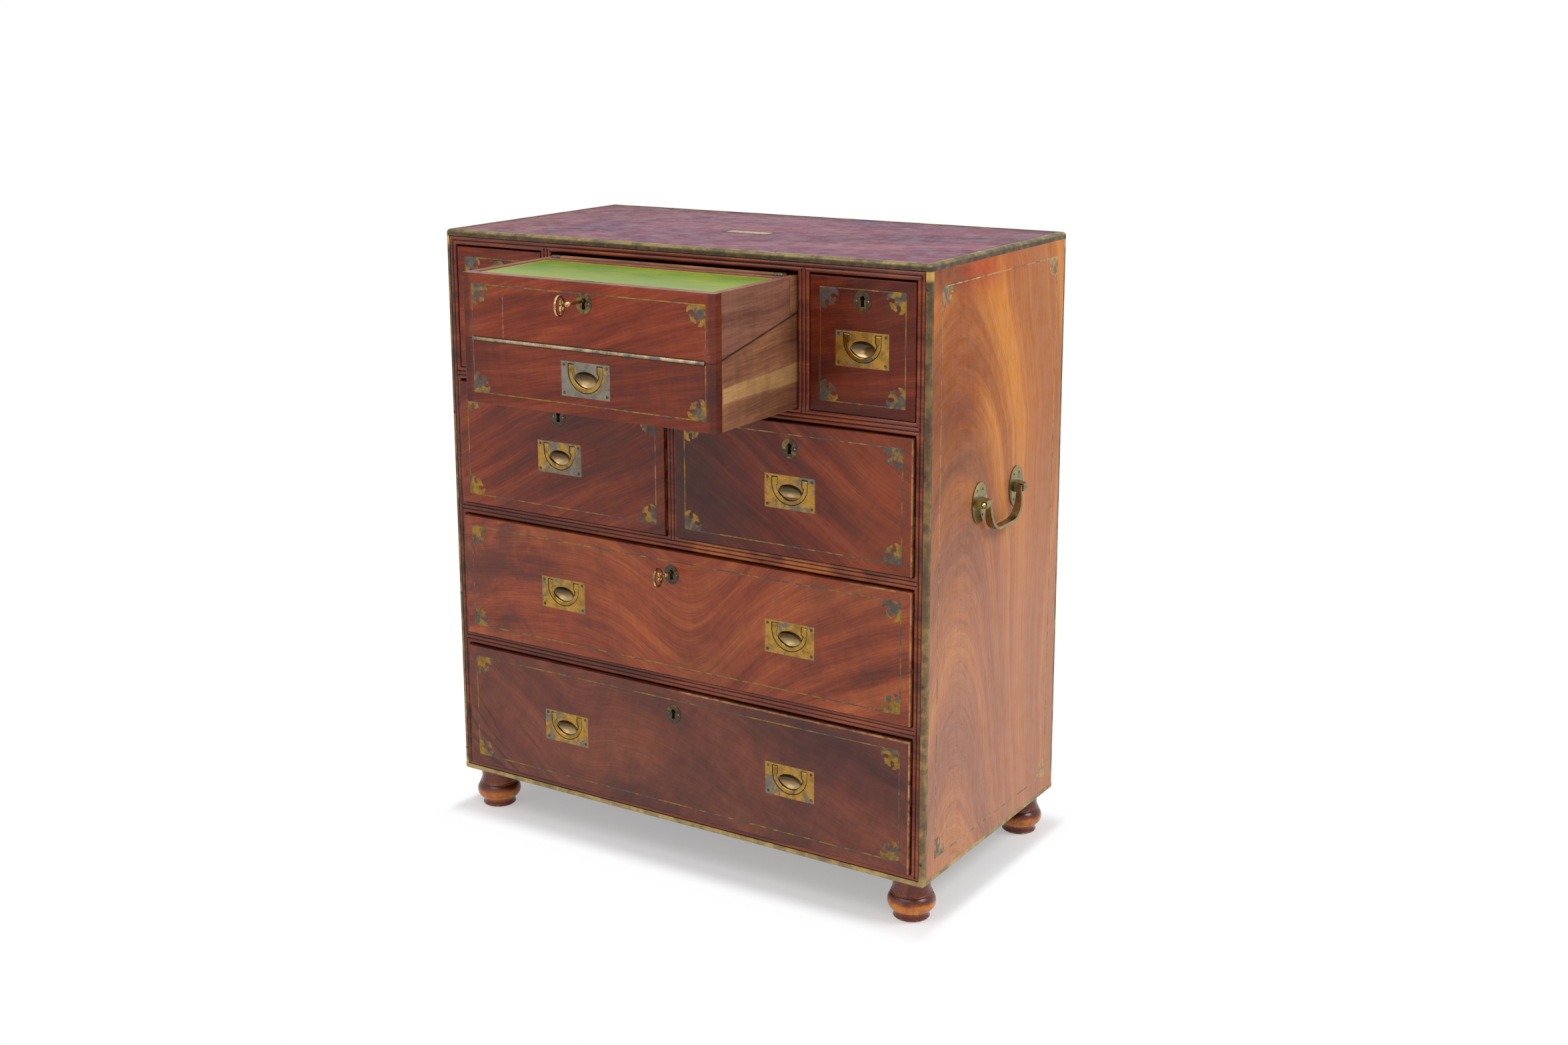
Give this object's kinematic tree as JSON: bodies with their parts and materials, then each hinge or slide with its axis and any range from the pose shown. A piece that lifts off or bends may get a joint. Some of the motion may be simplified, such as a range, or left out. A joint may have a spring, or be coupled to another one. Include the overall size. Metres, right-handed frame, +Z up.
{
  "type": "chest of drawers",
  "caption": "Mahogany campaign chest on turned feet, bound in brass, with flush handles, side drop handles and a slide-out writing box whose leather-topped lid is hinged at the front.",
  "frame": {"origin": "on the floor under the middle of the carcass", "axes": "+Z up; the drawers face -Y; seen from the front, +X is to the right"},
  "size_m": [0.942, 0.746, 1.01],
  "materials": {
    "mahogany": "waxed",
    "drawer_front": "waxed",
    "drawer_lining": "plain",
    "back_boards": "plain",
    "reeding": "waxed",
    "turned_wood": "waxed",
    "aged_brass": "tarnished",
    "brass": "worn",
    "leather": "worn"
  },
  "bodies": {
    "carcass": {"side_boards": "mahogany", "top_board": "mahogany", "bottom_board": "mahogany", "back_panel": "back_boards", "drawer_rails": "mahogany", "uprights": "mahogany", "reeded_mouldings": "reeding", "brass_edgings": "aged_brass", "corner_bindings": "aged_brass", "bun_feet": "turned_wood", "side_handle_plates": "brass", "name_plate": "brass"},
    "small_left_drawer": {"small_left_front": "drawer_front", "small_left_box": "drawer_lining", "small_left_plate": "brass", "small_left_lock": "brass"},
    "small_left_bail": {"small_left_bail": "brass"},
    "small_right_drawer": {"small_right_front": "drawer_front", "small_right_box": "drawer_lining", "small_right_plate": "brass", "small_right_lock": "brass"},
    "small_right_bail": {"small_right_bail": "brass"},
    "mid_left_drawer": {"mid_left_front": "drawer_front", "mid_left_box": "drawer_lining", "mid_left_plate": "brass", "mid_left_lock": "brass"},
    "mid_left_bail": {"mid_left_bail": "brass"},
    "mid_right_drawer": {"mid_right_front": "drawer_front", "mid_right_box": "drawer_lining", "mid_right_plate": "brass", "mid_right_lock": "brass"},
    "mid_right_bail": {"mid_right_bail": "brass"},
    "lower_drawer": {"lower_front": "drawer_front", "lower_box": "drawer_lining", "lower_plate": "brass", "lower_lock": "brass"},
    "lower_bail_left": {"lower_bail_left": "brass"},
    "lower_bail_right": {"lower_bail_right": "brass"},
    "bottom_drawer": {"bottom_front": "drawer_front", "bottom_box": "drawer_lining", "bottom_plate": "brass", "bottom_lock": "brass"},
    "bottom_bail_left": {"bottom_bail_left": "brass"},
    "bottom_bail_right": {"bottom_bail_right": "brass"},
    "writing_box": {"writing_base_front": "drawer_front", "writing_base_box": "drawer_lining", "writing_hinge_lower": "brass", "writing_plate": "brass"},
    "writing_bail": {"writing_bail": "brass"},
    "writing_lid": {"writing_lid_front": "drawer_front", "writing_lid_box": "drawer_lining", "writing_leather": "leather", "writing_hinge_upper": "brass", "writing_lock": "brass"},
    "lower_key": {"lower_key": "brass"},
    "lower_bolt": {"lower_bolt": "brass"},
    "writing_key": {"writing_key": "brass"},
    "writing_bolt": {"writing_bolt": "brass"},
    "side_bail_right": {"side_bail_right": "brass"},
    "side_bail_left": {"side_bail_left": "brass"}
  },
  "joints": [
    {"name": "small_left_slide", "type": "slide", "parent": "carcass", "child": "small_left_drawer", "axis": [0, -1, 0], "range_m": [0, 0.33]},
    {"name": "small_left_bail_swing", "type": "hinge", "parent": "small_left_drawer", "child": "small_left_bail", "pos_m": [-0.339, -0.2279, 0.89815], "axis": [-1, 0, 0], "range_deg": [0, 90]},
    {"name": "small_right_slide", "type": "slide", "parent": "carcass", "child": "small_right_drawer", "axis": [0, -1, 0], "range_m": [0, 0.33]},
    {"name": "small_right_bail_swing", "type": "hinge", "parent": "small_right_drawer", "child": "small_right_bail", "pos_m": [0.339, -0.2279, 0.89815], "axis": [-1, 0, 0], "range_deg": [0, 90]},
    {"name": "mid_left_slide", "type": "slide", "parent": "carcass", "child": "mid_left_drawer", "axis": [0, -1, 0], "range_m": [0, 0.33]},
    {"name": "mid_left_bail_swing", "type": "hinge", "parent": "mid_left_drawer", "child": "mid_left_bail", "pos_m": [-0.219, -0.2339, 0.67065], "axis": [-1, 0, 0], "range_deg": [0, 90]},
    {"name": "mid_right_slide", "type": "slide", "parent": "carcass", "child": "mid_right_drawer", "axis": [0, -1, 0], "range_m": [0, 0.33]},
    {"name": "mid_right_bail_swing", "type": "hinge", "parent": "mid_right_drawer", "child": "mid_right_bail", "pos_m": [0.219, -0.2339, 0.67065], "axis": [-1, 0, 0], "range_deg": [0, 90]},
    {"name": "lower_slide", "type": "slide", "parent": "carcass", "child": "lower_drawer", "axis": [0, -1, 0], "range_m": [0, 0.33]},
    {"name": "lower_bail_left_swing", "type": "hinge", "parent": "lower_drawer", "child": "lower_bail_left", "pos_m": [-0.218, -0.2339, 0.44065], "axis": [-1, 0, 0], "range_deg": [0, 90]},
    {"name": "lower_bail_right_swing", "type": "hinge", "parent": "lower_drawer", "child": "lower_bail_right", "pos_m": [0.218, -0.2339, 0.44065], "axis": [-1, 0, 0], "range_deg": [0, 90]},
    {"name": "bottom_slide", "type": "slide", "parent": "carcass", "child": "bottom_drawer", "axis": [0, -1, 0], "range_m": [0, 0.33]},
    {"name": "bottom_bail_left_swing", "type": "hinge", "parent": "bottom_drawer", "child": "bottom_bail_left", "pos_m": [-0.218, -0.2339, 0.20865], "axis": [-1, 0, 0], "range_deg": [0, 90]},
    {"name": "bottom_bail_right_swing", "type": "hinge", "parent": "bottom_drawer", "child": "bottom_bail_right", "pos_m": [0.218, -0.2339, 0.20865], "axis": [-1, 0, 0], "range_deg": [0, 90]},
    {"name": "writing_slide", "type": "slide", "parent": "carcass", "child": "writing_box", "axis": [0, -1, 0], "range_m": [-0.216, 0.11]},
    {"name": "writing_bail_swing", "type": "hinge", "parent": "writing_box", "child": "writing_bail", "pos_m": [0, -0.4429, 0.85465], "axis": [-1, 0, 0], "range_deg": [0, 90]},
    {"name": "writing_lid_hinge", "type": "hinge", "parent": "writing_box", "child": "writing_lid", "pos_m": [0, -0.446, 0.8798], "axis": [1, 0, 0], "range_deg": [0, 115]},
    {"name": "lower_key_turn", "type": "hinge", "parent": "lower_drawer", "child": "lower_key", "pos_m": [0, -0.237, 0.4933], "axis": [0, 1, 0], "range_deg": [0, 180]},
    {"name": "lower_bolt_throw", "type": "slide", "parent": "lower_drawer", "child": "lower_bolt", "axis": [0, 0, 1], "range_m": [0, 0.01]},
    {"name": "writing_key_turn", "type": "hinge", "parent": "writing_lid", "child": "writing_key", "pos_m": [0, -0.446, 0.9518], "axis": [0, 1, 0], "range_deg": [0, 180]},
    {"name": "writing_bolt_throw", "type": "slide", "parent": "writing_lid", "child": "writing_bolt", "axis": [0, 0, 1], "range_m": [0, 0.01]},
    {"name": "side_bail_right_swing", "type": "hinge", "parent": "carcass", "child": "side_bail_right", "pos_m": [0.462, -0.0045, 0.63], "axis": [0, -1, 0], "range_deg": [0, 90]},
    {"name": "side_bail_left_swing", "type": "hinge", "parent": "carcass", "child": "side_bail_left", "pos_m": [-0.462, -0.0045, 0.63], "axis": [0, 1, 0], "range_deg": [0, 90]}
  ],
  "couplings": [
    {"joint": "lower_key_turn", "follows": "lower_bolt_throw", "rad_per_m": 314.16},
    {"joint": "writing_key_turn", "follows": "writing_bolt_throw", "rad_per_m": 314.16}
  ]
}
